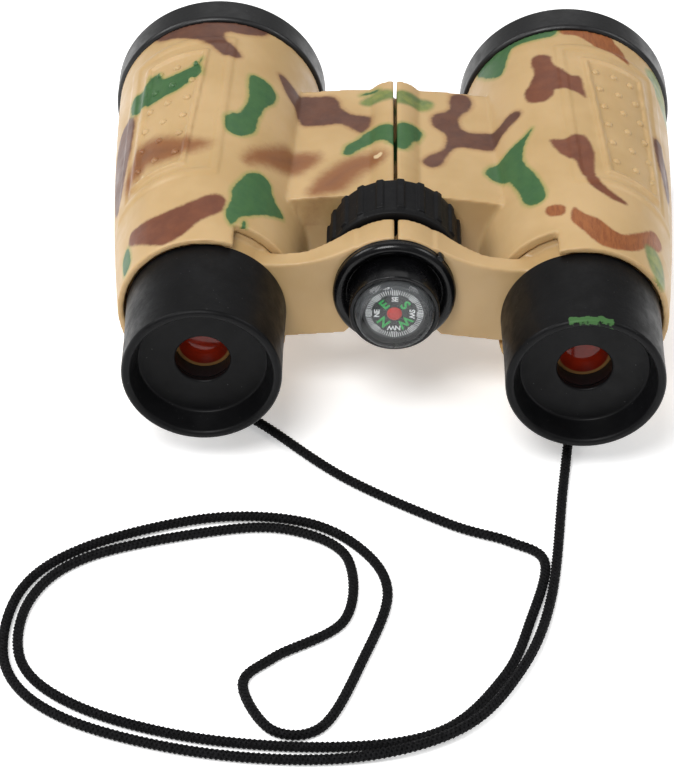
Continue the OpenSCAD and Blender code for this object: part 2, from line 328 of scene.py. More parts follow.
TAN = colour("c0a174")
TAN_DEEP = colour("b49566")
FLECK = colour("7c6040")
BROWN = colour("64402f")
BROWN_DEEP = colour("543529")
SPRAY = colour("84532f")
RUSSET = colour("75442c")
RUSSET_DEEP = colour("663a27")
RUST = colour("94592f")
RUST_DEEP = colour("7e4725")
GREEN = colour("3f6438")
GREEN_DEEP = colour("345a34")
OLIVE = colour("7f8a45")
CHIP = colour("cfb78f")
BLACK_WORN = colour("151517")
DUST = colour("6c6c6c")

# Most values of a noise lie between these.
MIDDLE = (0.3, 0.7)


def tan_base(shader):
    """Colour of moulded tan plastic: a slow drift, with a few dark flecks."""
    drift = shader.span(shader.noise(60, 3), *MIDDLE)
    flecks = shader.span(shader.noise(1500, 4, 0.7), 0.74, 0.8, 0, 0.35)
    return shader.mix(flecks, shader.mix(drift, TAN, TAN_DEEP), FLECK)


def plastic_skin(shader, roughness, shine):
    """Satin moulding: flow lines along the part, a fine skin, and a little light under the surface."""
    flow_lines = shader.noise(1, 4, 0.6, stretch=(420, 25, 420))
    skin = shader.noise(2600, 3, 0.6)
    shader.set(Normal=shader.bump(skin, 0.03, 0.35, shader.bump(flow_lines, 0.08, 0.5)))
    shader.set(Roughness=shader.span(shader.noise(220, 4), *MIDDLE, roughness - 0.06, roughness + 0.08))
    shader.set(Specular_IOR_Level=shine, Subsurface_Weight=0.12, Subsurface_Scale=2 * MM)
    shader.set(Subsurface_Radius=(1.0, 0.5, 0.2))


def tan_material():
    shader = Shader("tan plastic")
    shader.set(Base_Color=tan_base(shader))
    plastic_skin(shader, 0.42, 0.45)
    return shader.material


def camouflage_material():
    """Tan plastic with sprayed and stencilled paint.

    The mesh stores how many mm inside each kind of paint a point lies. Noise moves the edges about, and
    each coat goes from nothing to its full share between two of those distances.
    """
    shader = Shader("camouflage plastic")
    ragged = shader.times(shader.minus(shader.noise(1100, 4, 0.65), 0.5), 0.7)
    wavy = shader.times(shader.minus(shader.noise(160, 2), 0.5), 1.2)
    edge = shader.plus(ragged, wavy)
    stencils = ("brown", "russet", "rust", "green", "olive", "chip")
    brown, russet, rust, green, olive, chip = [
        shader.plus(shader.attribute(name), edge) for name in stencils
    ]
    spray = shader.plus(shader.attribute("spray"), shader.times(edge, 2.0))
    patchy = shader.span(shader.noise(330, 4, 0.6), 0.25, 0.75)
    streaky = shader.span(shader.noise(1, 5, 0.75, stretch=(1500, 240, 1500)), 0.35, 0.65)
    coats = [
        (shader.span(spray, -2.4, 1.4, 0, 0.95), SPRAY),
        (shader.span(spray, 1.0, 4.5, 0, 0.5), BROWN),
        (shader.span(rust, -0.35, 0.45), shader.mix(streaky, RUST, RUST_DEEP)),
        (shader.span(russet, -0.45, 0.55), shader.mix(patchy, RUSSET, RUSSET_DEEP)),
        (shader.span(brown, -1.2, 0.1, 0, 0.4), SPRAY),
        (shader.span(brown, -0.35, 0.45), shader.mix(patchy, BROWN, BROWN_DEEP)),
        (shader.span(green, -1.2, 0.1, 0, 0.6), OLIVE),
        (shader.span(olive, -0.9, 0.7, 0, 0.9), shader.mix(patchy, OLIVE, GREEN)),
        (shader.span(green, -0.2, 0.3), shader.mix(patchy, GREEN, GREEN_DEEP)),
        (shader.span(chip, 0.0, 0.3), CHIP),
    ]
    base = tan_base(shader)
    for share, coat in coats:
        base = shader.mix(share, base, coat)
    shader.set(Base_Color=base)
    plastic_skin(shader, 0.4, 0.4)
    return shader.material


# A dab of green paint on top of the right eyecup: its half length across, and its half width along.
DAB_LENGTH, DAB_WIDTH = 4.2, 0.8


def with_dab(shader, tone, x, y):
    """The tone with a ragged dab of green paint over it, about an x and a y in mm."""
    place_x, place_y, place_z = shader.coordinates()
    beside = shader.size(shader.minus(place_x, x * MM))
    behind = shader.size(shader.minus(place_y, y * MM))
    inside = shader.least(shader.minus(DAB_LENGTH * MM, beside), shader.minus(DAB_WIDTH * MM, behind))
    inside = shader.least(inside, shader.minus(place_z, BARREL_Z * MM))
    ragged = shader.times(shader.minus(shader.noise(700, 3), 0.55), 2.4 * MM)
    return shader.mix(shader.span(shader.plus(inside, ragged), 0, 0.2 * MM), tone, GREEN)


def black_material(name, base, roughness, shine, dust=0.3, skin=0.03, dab=None):
    """Black moulding with faint smears and specks of dust. Skin is the depth of its grain in mm."""
    shader = Shader(name)
    smears = shader.span(shader.noise(90, 5, 0.7), 0.35, 0.75, 0, 0.5)
    tone = shader.mix(smears, colour(base), BLACK_WORN)
    specks = shader.span(shader.noise(1900, 2, 0.5), 0.735, 0.77, 0, dust)
    tone = shader.mix(specks, tone, DUST)
    if dab:
        tone = with_dab(shader, tone, *dab)
    shader.set(Base_Color=tone, Specular_IOR_Level=shine)
    rubbed = shader.noise(260, 5, 0.7)
    shader.set(Roughness=shader.span(rubbed, 0.25, 0.75, roughness - 0.08, roughness + 0.12))
    flow_lines = shader.noise(1, 3, 0.6, stretch=(300, 60, 300))
    shader.set(Normal=shader.bump(shader.noise(1800, 3), skin, 0.4, shader.bump(flow_lines, 0.06, 0.4)))
    return shader.material


def axis_distance(shader, x, z):
    """Distance in mm from the nearer of two lines along Y, at plus and minus x."""
    place_x, _, place_z = shader.coordinates()
    dx = shader.minus(shader.size(place_x), x * MM)
    dz = shader.minus(place_z, z * MM)
    square = shader.plus(shader.times(dx, dx), shader.times(dz, dz))
    return shader.math("DIVIDE", shader.math("SQRT", square), MM)


def lens_material(name, middle, edge, edge_r):
    """Tinted lens: deep in the middle, with a paler moulded edge that starts at a radius in mm."""
    shader = Shader(name)
    distance = axis_distance(shader, BARREL_X, BARREL_Z)
    cloud = shader.span(shader.noise(300, 3), *MIDDLE, 0, 0.35)
    centre = shader.mix(cloud, colour(middle), colour("4a1008"))
    on_edge = shader.span(distance, edge_r - 0.5, edge_r)
    shader.set(Base_Color=shader.mix(on_edge, centre, colour(edge)))
    shader.set(Roughness=shader.span(shader.noise(500, 3), *MIDDLE, 0.04, 0.12))
    shader.set(Specular_IOR_Level=0.3)
    return shader.material


def clear_material():
    """Clear plastic with a flat window. Its shoulder and wall are cloudier than the window."""
    shader = Shader("clear plastic")
    distance = axis_distance(shader, 0, HINGE_Z)
    shoulder = (WINDOW_R - 0.15, WINDOW_R + 0.25)
    cloudy = shader.span(distance, *shoulder)
    shader.set(Base_Color=shader.mix(cloudy, colour("f6f7f8"), colour("c2c6c9")))
    shader.set(Transmission_Weight=shader.span(distance, *shoulder, 1, 0.86), IOR=1.04)
    shader.set(Roughness=shader.span(shader.plus(cloudy, shader.noise(700, 3)), 0.8, 1.6, 0.01, 0.16))
    shader.set(Alpha=0.6, Coat_Weight=0.8, Coat_Roughness=0.04)
    shader.set(Normal=shader.bump(shader.noise(200, 2), 0.01, 0.2))
    return shader.material


def metal_material(name, base, roughness):
    """Drawn metal with a grain along the instrument."""
    shader = Shader(name)
    grain = shader.noise(1, 4, 0.6, stretch=(3000, 200, 3000))
    shader.set(Base_Color=shader.mix(shader.span(grain, *MIDDLE), colour(base), colour("8f9092")))
    shader.set(Metallic=1.0, Roughness=shader.span(grain, *MIDDLE, roughness, roughness + 0.15))
    return shader.material


def print_material(name, base, second):
    """Printed or moulded small part with a slight mottle."""
    shader = Shader(name)
    mottle = shader.span(shader.noise(2500, 3), 0.35, 0.7)
    shader.set(Base_Color=shader.mix(mottle, colour(base), colour(second)))
    shader.set(Roughness=shader.span(shader.noise(900, 3), *MIDDLE, 0.35, 0.5))
    shader.set(Normal=shader.bump(shader.noise(4000, 2), 0.01, 0.4))
    return shader.material


def cord_material():
    """Matt black braid, with the fuzz of its yarn."""
    shader = Shader("braided cord")
    tone = shader.mix(shader.span(shader.noise(1400, 3), 0.3, 0.75), colour("060607"), colour("151517"))
    shader.set(Base_Color=tone, Specular_IOR_Level=0.12)
    shader.set(Roughness=shader.span(shader.noise(2000, 2), *MIDDLE, 0.5, 0.7))
    shader.set(Normal=shader.bump(shader.noise(9000, 2), 0.04, 0.6))
    return shader.material


# ---------------------------------------------------------------- neck cord

# Heights of the cord's middle: on the table, lifting off it, over another stretch, and in a lug.
LAY_Z, LUG_Z = 1.02, 2.1
OVER_Z, RISE_Z = LAY_Z + 1.5, LAY_Z + 0.2
# The cord's middle from the left lug round its loop to the right lug: part.scad's two routes as one.
CORD_ROUTE = [
    (-36, -22.3, LUG_Z), (-36, -27.4, LUG_Z), (-33.4, -31, RISE_Z), (-24.3, -38.4, LAY_Z),
    (-8.6, -53.7, LAY_Z), (10.8, -66.4, LAY_Z), (22.1, -71.2, LAY_Z), (28.4, -76.9, LAY_Z),
    (25.1, -93.3, LAY_Z), (20, -107.9, LAY_Z), (8.9, -121.9, LAY_Z), (-9.4, -126.5, LAY_Z),
    (-34.3, -124.9, LAY_Z), (-54.8, -117.7, LAY_Z), (-65.5, -106.6, LAY_Z), (-65.2, -90, LAY_Z),
    (-55, -77.8, LAY_Z), (-31.1, -69.7, LAY_Z), (-17.5, -69.6, LAY_Z), (-8, -77, LAY_Z),
    (-8.4, -94, LAY_Z), (-20.8, -104.2, LAY_Z), (-26.1, -111.4, LAY_Z), (-20.7, -122.6, LAY_Z),
    (-11.9, -121.5, LAY_Z), (-5.1, -104.6, LAY_Z), (-0.6, -86.7, LAY_Z), (-5, -74.8, LAY_Z),
    (-16.2, -67.1, RISE_Z), (-34.4, -66.7, RISE_Z), (-56.4, -75.7, RISE_Z), (-67.4, -88.3, LAY_Z),
    (-68.2, -107.8, LAY_Z), (-57.2, -120.6, LAY_Z), (-33.6, -128.4, LAY_Z), (-8, -129.4, RISE_Z),
    (11.6, -123.2, OVER_Z), (22.5, -108.6, OVER_Z), (29.1, -87.3, RISE_Z), (32.7, -55.4, LAY_Z),
    (34.6, -39, LAY_Z), (36, -27.4, LUG_Z), (36, -22.3, LUG_Z),
]  # fmt: skip
BRAID_STRANDS = 4
BRAID_PITCH = 3.6
BRAID_STEPS = 14
CORE_R, STRAND_R = 0.62, 0.27
# A strand runs at this distance from the middle, and weaves in and out by this much.
STRAND_LIFT, WEAVE = 0.66, 0.1
# Sizes of the stopper knots. In metres.
KNOT_SIZE, KNOT_STRANDS, KNOT_TWISTS = 0.38, 6, 14
KNOT_CORE_R, KNOT_STRAND_R, KNOT_STRAND_LIFT = 0.36, 0.2, 0.32


def smooth_line(points, steps, closed=False):
    """A Catmull-Rom curve through the points."""
    p = np.array(points, float)
    count = len(p)
    out = []
    for i in range(count if closed else count - 1):
        if closed:
            a, b, c, d = p[i - 1], p[i], p[(i + 1) % count], p[(i + 2) % count]
        else:
            a, b, c, d = p[max(i - 1, 0)], p[i], p[i + 1], p[min(i + 2, count - 1)]
        for t in np.arange(steps) / steps:
            cubic = (3 * b - a - 3 * c + d) * t**3
            out.append((2 * b + (c - a) * t + (2 * a - 5 * b + 4 * c - d) * t * t + cubic) / 2)
    if not closed:
        out.append(p[-1])
    return np.array(out)


def even_line(line, step):
    """The same line with its points a step apart, and how far along it each lies."""
    along = np.r_[0, np.cumsum(np.linalg.norm(np.diff(line, axis=0), axis=1))]
    marks = np.linspace(0, along[-1], int(round(along[-1] / step)) + 1)
    return np.stack([np.interp(marks, along, line[:, k]) for k in range(3)], 1), marks


def unit_rows(vectors):
    return vectors / np.linalg.norm(vectors, axis=1)[:, None]


def line_frame(line, clear_of=(0, 0, 1)):
    """Two unit vectors across each point of a line that never runs along a given direction."""
    along = unit_rows(np.gradient(line, axis=0))
    across = unit_rows(np.cross(along, clear_of))
    return across, np.cross(across, along)


def outwards(angle, across, up):
    """Unit vectors at an angle about a line, one for each of its points."""
    return np.cos(angle)[:, None] * across + np.sin(angle)[:, None] * up


def tube_data(line, radius, sides, across=None, up=None):
    """Points and faces of a tube along a line, with closed ends."""
    if across is None:
        across, up = line_frame(line)
    turn = 2 * np.pi * np.arange(sides) / sides
    ring = np.cos(turn)[None, :, None] * across[:, None] + np.sin(turn)[None, :, None] * up[:, None]
    vertices = (line[:, None] + radius * ring).reshape(-1, 3)
    i = np.arange(len(line) - 1)[:, None] * sides
    k = np.arange(sides)[None]
    after = (k + 1) % sides
    walls = np.stack([i + k, i + after, i + sides + after, i + sides + k], -1).reshape(-1, 4)
    faces = [tuple(f) for f in walls.tolist()]
    last = (len(line) - 1) * sides
    faces += [tuple(range(sides - 1, -1, -1)), tuple(range(last, last + sides))]
    return vertices.tolist(), faces


def make_cord(material):
    """A core with four strands each way plaited over it."""
    line, marks = even_line(smooth_line(CORD_ROUTE, 24), BRAID_PITCH / BRAID_STEPS)
    across, up = line_frame(line)
    parts = [tube_data(line[::4], CORE_R, 8)]
    turn = 2 * np.pi * marks / BRAID_PITCH
    for way in (1, -1):
        lift = STRAND_LIFT + way * WEAVE * np.cos(BRAID_STRANDS * turn)
        for k in range(BRAID_STRANDS):
            angle = way * turn + 2 * np.pi * k / BRAID_STRANDS
            strand = line + lift[:, None] * outwards(angle, across, up)
            parts.append(tube_data(strand, STRAND_R, 5))
    vertices, faces = join_data(*parts)
    cord = make_object("neck_cord_braid", vertices, faces, material, None, ("neck_cord", "neck_cord_end"))
    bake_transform(cord)
    return cord, line, marks[-1]


def make_knot(side, material):
    """An overhand stopper knot in front of a lug."""
    low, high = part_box(side + "_cord_knot")
    centre = np.array((low + high) / 2) / MM
    t = np.linspace(0, 2 * np.pi, 121)
    trefoil = [np.sin(t) + 2 * np.sin(2 * t), -0.8 * np.sin(3 * t), np.cos(t) - 2 * np.cos(2 * t)]
    line = KNOT_SIZE * np.stack(trefoil, 1)
    across, up = line_frame(line, clear_of=(0, 1, 0))
    parts = []
    for k in range(KNOT_STRANDS):
        out = outwards(KNOT_TWISTS * t + 2 * np.pi * k / KNOT_STRANDS, across, up)
        parts.append(tube_data(centre + line + KNOT_STRAND_LIFT * out, KNOT_STRAND_R, 5, across, up))
    parts.append(tube_data(centre + line, KNOT_CORE_R, 8, across, up))
    vertices, faces = join_data(*parts)
    replaced = (side + "_cord_knot",)
    knot = make_object(side + "_stopper_knot", vertices, faces, material, side + "_half", replaced)
    return knot


# ---------------------------------------------------------------- camouflage patches

# Each patch is a smooth closed line through a few points. On a barrel a point is (degrees from the top,
# outwards positive, station), and on the bridge it is (distance from the hinge, station).
PATCHES = {
    "left": [
        ("brown", "barrel", [(36, 93.5), (36, 90.5), (26, 88.8), (14, 85.8), (4, 83.2), (-2, 80.2),
            (-9, 79), (-13, 80), (-8, 83), (-3, 85.5), (-4, 88.3), (-14, 88.5), (-25, 90.5), (-24, 94)]),
        ("green", "barrel", [(14, 76), (12, 77.3), (9, 75.5), (8.5, 72.5), (13, 71.8), (19, 69.8),
            (25, 68.7), (40, 68.2), (53, 69.3), (56, 72.5), (53, 75.5), (43, 75.5), (39.5, 78),
            (34, 77.2), (31, 75), (20, 75.2)]),
        ("green", "barrel", [(-19, 74.3), (-25, 74.6), (-31.5, 73.5), (-35.5, 71), (-34, 67.5),
            (-28.5, 64.3), (-26, 60.6), (-24.5, 56), (-18.5, 53.5), (-13, 53), (-7.5, 54.3), (-5.5, 57.8),
            (-9, 59.6), (-15, 60.6), (-18.5, 65), (-18.5, 70)]),
        ("brown", "barrel", [(-36, 79.2), (-41, 79.5), (-51, 77.8), (-60, 77), (-60, 68.5), (-54, 68.5),
            (-50, 72), (-44, 74), (-39, 76.3)]),
        ("brown", "bridge", [(19, 77), (15.8, 77.4), (12.9, 77.3), (11.5, 75.5), (10.7, 73), (8.8, 70.4),
            (5.4, 69.2), (5, 66.6), (6.5, 63.4), (8.6, 65), (11, 67), (14, 66.8), (19, 67.6)]),
        ("olive", "bridge", [(7.1, 74.6), (6, 76.1), (3.8, 76.8), (0, 75.8), (0, 73.4), (3.8, 73),
            (6.2, 73.4)]),
        ("green", "bridge", [(10.3, 56.3), (9.5, 59), (7.6, 61), (5.7, 63.5), (3.4, 64), (0, 62.7),
            (0, 56.2), (2.4, 58.3), (4.8, 59), (6.8, 57.9), (9, 55.7)]),
        ("green", "bridge", [(3.5, 77.6), (5.2, 78.3), (6.8, 77.7), (6.9, 77), (5.2, 77.5), (3.6, 77)]),
        ("chip", "bridge", [(2.8, 53), (3.5, 52.6), (4.2, 53.3), (4.4, 54.6), (3.6, 54.2), (3, 54.7),
            (2.5, 53.9)]),
        ("chip", "barrel", [(43, 45.6), (44.5, 46.3), (46, 45.5), (44.5, 44.5)]),
        ("green", "barrel", [(-25, 26.5), (-23.6, 27.8), (-22, 27), (-22.6, 24.6), (-24, 23.2),
            (-24.4, 25)]),
        ("green", "barrel", [(8, 77.8), (9.2, 78.7), (10.6, 77.7), (9.4, 76.8)]),
        ("spray", "bridge", [(2.8, 54), (5.2, 55.3), (8.6, 54.3), (11, 52.5), (13.8, 49.5), (15.8, 46),
            (16.3, 42.6), (11, 43.8), (7.6, 48.2), (5.2, 50.2), (2.8, 51.6)]),
        ("spray", "barrel", [(-20, 47.5), (-28, 51), (-39, 54), (-48, 57), (-62, 56.3), (-65, 54.6),
            (-62, 52.8), (-55, 50.5), (-49, 49.5), (-37.5, 47.8), (-27.5, 46.5), (-21, 45.5)]),
        ("green", "barrel", [(-22, 41.5), (-30, 43.4), (-37.7, 42), (-39, 40), (-43.5, 37.5), (-51, 35.6),
            (-42.5, 33.3), (-33.5, 31.5), (-21, 28.5), (-17.5, 26.3), (-14.5, 25.5), (-11, 28.4),
            (-13.5, 33), (-14.5, 36.5)]),
        ("russet", "barrel", [(-11, 32.6), (-6, 33.8), (0, 33.3), (15, 31.2), (32, 30.3), (46, 31.1),
            (56, 31.3), (58, 28), (48.5, 25.5), (35.5, 22), (26.5, 20.8), (15, 22.2), (5, 25.6),
            (-7.5, 28.2), (-10.5, 30.2)]),
        ("spray", "barrel", [(5, 50.3), (3, 48.6), (18.5, 47), (31.5, 47.3), (40, 48.2), (46.5, 46.9),
            (56, 44), (60, 47), (56, 50.5), (48.5, 54), (42, 55.8), (31.5, 54), (18, 51.5)]),
        ("brown", "barrel", [(52, 67), (58, 70), (72, 69), (82, 60), (80, 47), (68, 44.5), (61, 50),
            (55, 58)]),
        ("green", "barrel", [(58, 27.5), (62, 28), (67, 26), (66, 22), (60, 22), (57, 24)]),
        ("brown", "barrel", [(84, 84), (100, 80), (118, 66), (108, 58), (96, 66), (86, 74)]),
        ("green", "barrel", [(92, 52), (112, 54), (126, 44), (116, 34), (100, 38), (88, 44)]),
        ("brown", "barrel", [(130, 86), (150, 82), (158, 70), (140, 68), (128, 76)]),
    ],
    "right": [
        ("green", "barrel", [(-9, 93.5), (-9.5, 90.3), (-20, 90), (-31, 90.5), (-36, 89.8), (-39, 86.5),
            (-42, 83.3), (-48, 83.8), (-57, 88), (-62, 92), (-50, 95), (-30, 95)]),
        ("rust", "barrel", [(-8, 94), (-5, 90.5), (3, 90), (8.8, 88.3), (14, 86.3), (24, 85.4),
            (34, 84.4), (31, 88), (26, 90.5), (20, 93.5)]),
        ("russet", "barrel", [(-22.5, 83.7), (-18, 84), (-12.5, 82.7), (-10, 79.3), (-3, 75.8), (3, 74.8),
            (4.5, 71.7), (5.5, 67.6), (0.5, 69), (-10.5, 70.8), (-13, 68.7), (-19, 67), (-27.5, 68.4),
            (-29.5, 71.7), (-25, 74.7), (-22, 77.8), (-24, 81.5)]),
        ("brown", "barrel", [(-60, 65.3), (-48, 66), (-41.5, 67.2), (-35.5, 67.6), (-32, 66), (-35, 64.6),
            (-40, 63.8), (-47, 62.3), (-52, 60.5), (-60, 60)]),
        ("brown", "bridge", [(11.4, 78.4), (13.8, 79.3), (15.3, 78), (15.3, 74.5), (13.4, 71),
            (13.1, 67.4), (15, 65.4), (19.5, 65.2), (19.5, 60), (13.3, 59.7), (11.4, 58.4), (10.2, 55.7),
            (9, 52.7), (7, 51.8), (5.3, 53.4), (6.5, 55.6), (9.4, 58.2), (10.3, 61), (9.9, 63.8),
            (7.6, 67), (7.8, 70.6), (11, 73.5)]),
        ("olive", "bridge", [(0, 75.7), (3.2, 76.3), (5.6, 76.2), (7.9, 75.3), (7.6, 73), (6.2, 71.7),
            (4.4, 71.4), (2, 71.6), (0, 72.2)]),
        ("green", "bridge", [(0, 63.2), (3, 64.7), (4.9, 64.8), (5.6, 63.4), (5.1, 60.9), (3.7, 58.7),
            (2.7, 56), (1.5, 54.8), (0, 56.2)]),
        ("green", "barrel", [(-26, 59.5), (-32.5, 54.8), (-34, 51.5), (-33, 49), (-28.5, 45.4),
            (-23.5, 40.6), (-22, 37.3), (-25, 35.7), (-31, 35.8), (-37, 37.8), (-40, 42), (-44, 46),
            (-50, 47.8), (-57, 51), (-54, 54), (-42, 56.3), (-34, 57.5)]),
        ("russet", "barrel", [(-17, 54.2), (-9, 53.5), (-1, 54.8), (4, 54.2), (6.8, 51.1), (8.8, 49),
            (8.2, 44), (11, 40.2), (17, 38.4), (28, 36), (18, 36), (6, 38.8), (0, 42.2), (-3, 45.8),
            (-10, 48.2), (-15, 51.4)]),
        ("rust", "barrel", [(-23.5, 33.3), (-19, 34), (-12, 33.2), (-11, 31.6), (-14, 30.3), (-22, 31)]),
        ("rust", "barrel", [(-8, 30.8), (-5.5, 32.3), (0, 30.6), (9, 29), (19, 26.6), (28, 27),
            (37.5, 29.8), (50, 33.5), (60, 32), (54, 28.6), (44, 27), (37.5, 24.4), (28, 22),
            (17.5, 21.3), (8, 22), (-0.5, 24.7), (-7.5, 28)]),
        ("olive", "barrel", [(49, 88.5), (54, 91), (64, 92), (74, 90), (84, 84), (80, 80), (68, 80.5),
            (58, 83.5), (52, 86)]),
        ("brown", "barrel", [(51, 64), (57, 65), (63, 62), (70, 57), (72, 52), (66, 49), (61, 51.5),
            (56, 55.5)]),
        ("olive", "barrel", [(42, 26.5), (47, 28), (54, 28), (62, 26), (66, 21.5), (60, 20), (52, 20.5),
            (45, 23)]),
        ("green", "barrel", [(90, 72), (106, 76), (122, 66), (112, 56), (98, 60)]),
        ("brown", "barrel", [(96, 48), (118, 50), (136, 38), (120, 30), (102, 36)]),
    ],
}  # fmt: skip
PAINTS = ("brown", "russet", "rust", "spray", "green", "olive", "chip")
BARREL_R, TAPER_R, BELLY_STATION = 21.1, 700, 96
# Where a barrel's side meets the bridge: its distance from the hinge and its angle.
JOINT_X, JOINT_ANGLE = 18.9, -54.5
ARC = math.radians(BARREL_R - 0.1)


def unrolled(kind, point):
    """A patch point in mm across and along the unrolled skin."""
    across, y = point
    if kind == "barrel":
        return ARC * across, y
    return ARC * JOINT_ANGLE - (JOINT_X - across), y


def inside_distance(points, outline):
    """Distance in mm from an outline, positive inside, for each point."""
    a, b = outline, np.roll(outline, -1, axis=0)
    edge = b - a
    gap = points[:, None] - a[None]
    t = np.clip((gap * edge).sum(-1) / np.maximum((edge**2).sum(-1), 1e-9), 0, 1)
    distance = np.linalg.norm(gap - t[..., None] * edge, axis=-1).min(1)
    crosses = (a[None, :, 1] > points[:, None, 1]) != (b[None, :, 1] > points[:, None, 1])
    rise = np.where(np.abs(edge[:, 1]) < 1e-9, 1e-9, edge[:, 1])
    at = a[:, 0] + (points[:, None, 1] - a[:, 1]) * edge[:, 0] / rise
    inside = (crosses & (points[:, None, 0] < at)).sum(1) % 2 == 1
    return np.where(inside, distance, -distance)


def paint(obj, side):
    """Stores how far each point of a barrel lies inside each kind of paint."""
    co = np.zeros(len(obj.data.vertices) * 3)
    obj.data.vertices.foreach_get("co", co)
    co = co.reshape(-1, 3) / MM
    x, y, z = np.abs(co[:, 0]), co[:, 1] - RIM_Y, co[:, 2] - BARREL_Z
    angle = np.degrees(np.arctan2(x - BARREL_X, z))
    radius = np.hypot(x - BARREL_X, z)
    on_bridge = (x < JOINT_X) & (z > 6) & (y > 40) & (y < 81)
    skin = np.where(on_bridge, ARC * JOINT_ANGLE - (JOINT_X - x), ARC * angle)
    outer = on_bridge | (radius > BARREL_R - (BELLY_STATION - y) ** 2 / 2 / TAPER_R - 0.8)
    points = np.stack([skin, y], 1)
    for name in PAINTS:
        field = np.full(len(co), -9.0)
        for kind, chart, outline in PATCHES[side]:
            if kind != name:
                continue
            line = smooth_line([unrolled(chart, p) for p in outline], 4, closed=True)
            near = outer & ((points > line.min(0) - 4) & (points < line.max(0) + 4)).all(1)
            field[near] = np.maximum(field[near], inside_distance(points[near], line))
        layer = obj.data.attributes.new(name, "FLOAT", "POINT")
        layer.data.foreach_set("value", field.astype(np.float32))


# ---------------------------------------------------------------- mouldings

DOT_STATIONS = [77, 71.3, 65.5, 59.7, 54, 48.2]
# Angles of the three columns of grip dots, at the front row and at the rear row.
DOT_COLUMNS = [(12.1, 21.7), (23, 34.9), (33.8, 48.2)]
DOT_HEIGHT, DOT_R, DOT_SUNK = 0.75, 0.85, 0.2
DOT_RINGS, DOT_AROUND = 5, 14
# Size of the cells that round off a moulding's edges in mm, and how many times it is smoothed.
BARREL_SKIN = (0.38, 3)
ARM_SKIN = (0.36, 6)


def radial(angle):
    """Unit vectors out from an axis along Y and sideways to that. The angle is from the top."""
    out = Vector((math.sin(angle), 0, math.cos(angle)))
    return out, Vector((out.z, 0, -out.x))


def barrel_radius(y):
    return BARREL_R - (BELLY_STATION - y) ** 2 / 2 / TAPER_R


def dome(foot, out, sideways):
    """Points and faces of a low dome that stands on a point."""
    forward = Vector((0, 1, 0))
    vertices = [foot + out * DOT_HEIGHT]
    for i in range(1, DOT_RINGS + 1):
        tilt = math.pi / 2 * i / DOT_RINGS
        for k in range(DOT_AROUND):
            turn = 2 * math.pi * k / DOT_AROUND
            flat = sideways * math.cos(turn) + forward * math.sin(turn)
            vertices.append(foot + out * DOT_HEIGHT * math.cos(tilt) + flat * DOT_R * math.sin(tilt))
    faces = [(0, 1 + k, 1 + (k + 1) % DOT_AROUND) for k in range(DOT_AROUND)]
    for i in range(DOT_RINGS - 1):
        for k in range(DOT_AROUND):
            a = 1 + i * DOT_AROUND + k
            b = 1 + i * DOT_AROUND + (k + 1) % DOT_AROUND
            faces.append((a, a + DOT_AROUND, b + DOT_AROUND, b))
    return [tuple(v) for v in vertices], faces


def grip_dots(side):
    """Points and faces of the domes on a grip panel, whose columns spread towards the rear."""
    parts = []
    for front, rear in DOT_COLUMNS:
        for y in DOT_STATIONS:
            share = (DOT_STATIONS[0] - y) / (DOT_STATIONS[0] - DOT_STATIONS[-1])
            out, sideways = radial(SIDES[side] * math.radians(front + (rear - front) * share))
            centre = Vector((axis_of(side)[0], RIM_Y + y, BARREL_Z))
            parts.append(dome(centre + out * (barrel_radius(y) - DOT_SUNK), out, sideways))
    return join_data(*parts)


def soften(obj, voxel, passes):
    """Modifiers that give a CAD solid the soft edges of a moulding."""
    weld = obj.modifiers.new("weld", "WELD")
    weld.merge_threshold = 0.001 * MM
    remesh = obj.modifiers.new("skin", "REMESH")
    remesh.mode = "VOXEL"
    remesh.voxel_size = voxel * MM
    remesh.use_smooth_shade = True
    relax = obj.modifiers.new("soft edges", "SMOOTH")
    relax.factor = 0.5
    relax.iterations = passes
    return obj


def make_barrel(side, material):
    """The CAD barrel with moulded edges and grip dots, and its paint."""
    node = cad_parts[side + "_barrel"]
    rough = bpy.data.objects.new("rough", node.data.copy())
    bpy.context.scene.collection.objects.link(rough)
    soften(rough, *BARREL_SKIN)
    bpy.context.view_layer.update()
    graph = bpy.context.evaluated_depsgraph_get()
    mesh = bpy.data.meshes.new_from_object(rough.evaluated_get(graph))
    bpy.data.objects.remove(rough)
    vertices, faces = grip_dots(side)
    dots = bpy.data.meshes.new("dots")
    dots.from_pydata([metres(v) for v in vertices], [], faces)
    bm = bmesh.new()
    bm.from_mesh(mesh)
    bm.from_mesh(dots)
    bm.to_mesh(mesh)
    bm.free()
    bpy.data.meshes.remove(dots)
    obj = bpy.data.objects.new(side + "_camouflage_barrel", mesh)
    bpy.context.scene.collection.objects.link(obj)
    mesh.materials.clear()
    mesh.materials.append(material)
    mesh.polygons.foreach_set("use_smooth", [True] * len(mesh.polygons))
    paint(obj, side)
    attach(obj, side + "_half")
    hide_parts(side + "_barrel")
    return obj


def make_arm(side, material):
    """The arm keeps its CAD mesh, with soft edges."""
    dress(side + "_eyepiece_arm", material)
    soften(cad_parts[side + "_eyepiece_arm"], *ARM_SKIN)


# ---------------------------------------------------------------- optics

# Corners of closed profiles, as (radius, station).
RING = [
    (20.05, 92.3), (21.3, 92.3), (21.8, 92.9), (21.8, 99.3), (21.1, 100),
    (19.4, 100), (16.5, 97.3), (16.5, 97.1), (20.05, 97.1),
]  # fmt: skip
# Outside of the eyecup, then its rear bore, its recess and the small hole that the lens shows through.
CUP = [
    (13.45, 0.35), (13.9, 0), (14.7, 0), (15.1, 0.5), (15.1, 8), (15.2, 13), (15.4, 21.1), (13.15, 21.1),
    (13.15, 29), (11.6, 29), (11.6, 7), (5.8, 7), (5.2, 6.4), (5.2, 5.5), (5.5, 5.25), (12.2, 5),
]  # fmt: skip


